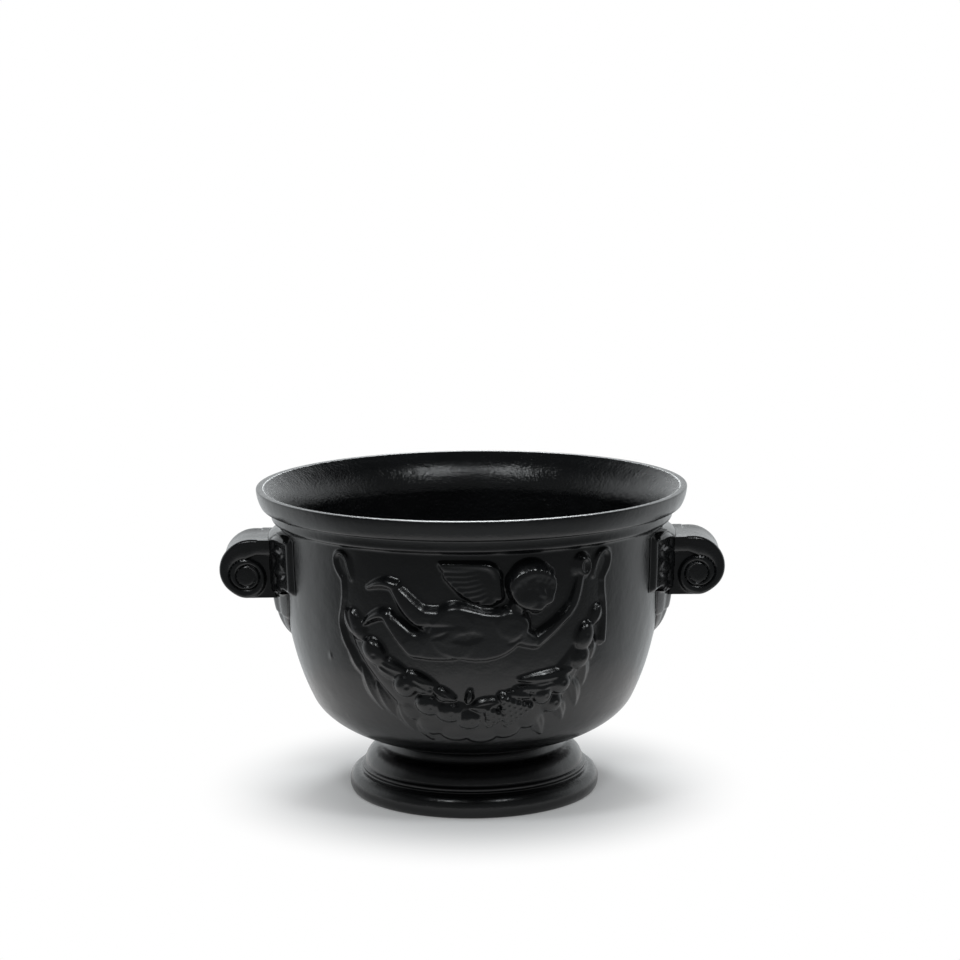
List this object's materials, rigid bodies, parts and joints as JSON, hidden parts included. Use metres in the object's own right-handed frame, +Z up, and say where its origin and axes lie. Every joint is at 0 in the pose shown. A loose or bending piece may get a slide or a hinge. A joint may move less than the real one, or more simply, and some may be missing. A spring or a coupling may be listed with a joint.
{
  "type": "urn planter",
  "caption": "Footed cast-iron urn planter with a flared rim, scroll handles and a classical relief of a winged child over a fruit festoon.",
  "frame": {"origin": "on the floor under the middle of the foot", "axes": "+Z up, +X towards the right handle, the front with the relief faces -Y"},
  "size_m": [0.3884, 0.33, 0.238],
  "materials": {
    "black_painted_iron": "gloss black paint over sand-cast iron",
    "zinc_steel": "zinc plated"
  },
  "bodies": {
    "root": {"bowl": "black_painted_iron", "foot": "black_painted_iron", "right_handle": "black_painted_iron", "right_handle_bolt_upper": "zinc_steel", "right_handle_washer_upper": "zinc_steel", "right_handle_bolt_lower": "zinc_steel", "right_handle_washer_lower": "zinc_steel", "left_handle": "black_painted_iron", "left_handle_bolt_upper": "zinc_steel", "left_handle_washer_upper": "zinc_steel", "left_handle_bolt_lower": "zinc_steel", "left_handle_washer_lower": "zinc_steel", "centre_bolt": "zinc_steel", "centre_washer_upper": "zinc_steel", "centre_washer_lower": "zinc_steel", "centre_nut": "zinc_steel"}
  },
  "joints": []
}
